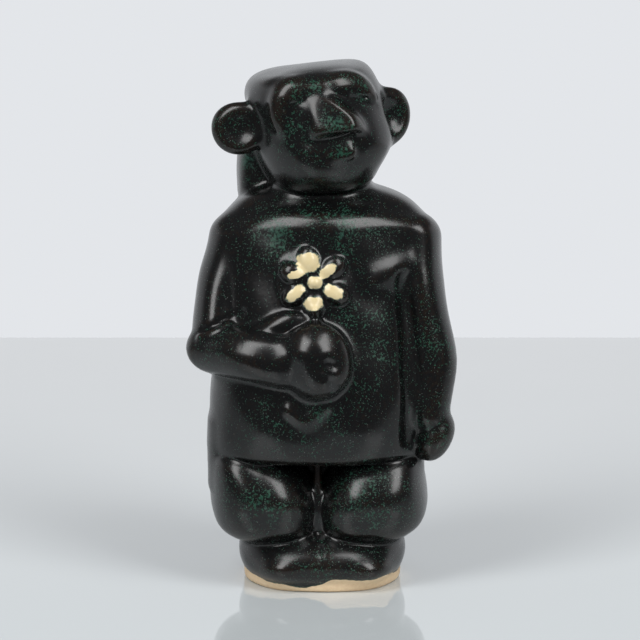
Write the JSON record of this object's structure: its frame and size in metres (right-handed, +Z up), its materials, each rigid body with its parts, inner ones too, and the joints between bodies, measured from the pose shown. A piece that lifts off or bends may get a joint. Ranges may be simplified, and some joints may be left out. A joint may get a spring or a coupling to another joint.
{
  "type": "troll figurine",
  "caption": "Glazed ceramic troll that stands on a bare clay foot, one arm bent to hold a flower against its chest.",
  "frame": {"origin": "on the surface that the figure stands on, under the middle of its box", "axes": "+Z up, the belly faces -Y, +X to the troll's own left"},
  "size_m": [0.0944, 0.0738, 0.1867],
  "materials": {
    "black_glaze": "gloss",
    "yellow_glaze": "gloss",
    "bare_clay": "matte"
  },
  "bodies": {
    "root": {"base_slab": "bare_clay", "flower_centre": "yellow_glaze", "flower_stem": "black_glaze", "hair_mane": "black_glaze", "head": "black_glaze", "left_arm": "black_glaze", "left_brow": "black_glaze", "left_ear": "black_glaze", "left_eyelid": "black_glaze", "left_foot": "black_glaze", "left_hand": "black_glaze", "left_leg": "black_glaze", "lower_lip": "black_glaze", "neck": "black_glaze", "nose": "black_glaze", "petal_1": "yellow_glaze", "petal_2": "yellow_glaze", "petal_3": "yellow_glaze", "petal_4": "yellow_glaze", "petal_5": "yellow_glaze", "petal_6": "yellow_glaze", "right_brow": "black_glaze", "right_ear": "black_glaze", "right_eyelid": "black_glaze", "right_finger_roll": "black_glaze", "right_fist": "black_glaze", "right_foot": "black_glaze", "right_forearm": "black_glaze", "right_leg": "black_glaze", "right_thumb": "black_glaze", "right_upper_arm": "black_glaze", "torso": "black_glaze", "upper_lip": "black_glaze"}
  },
  "joints": []
}
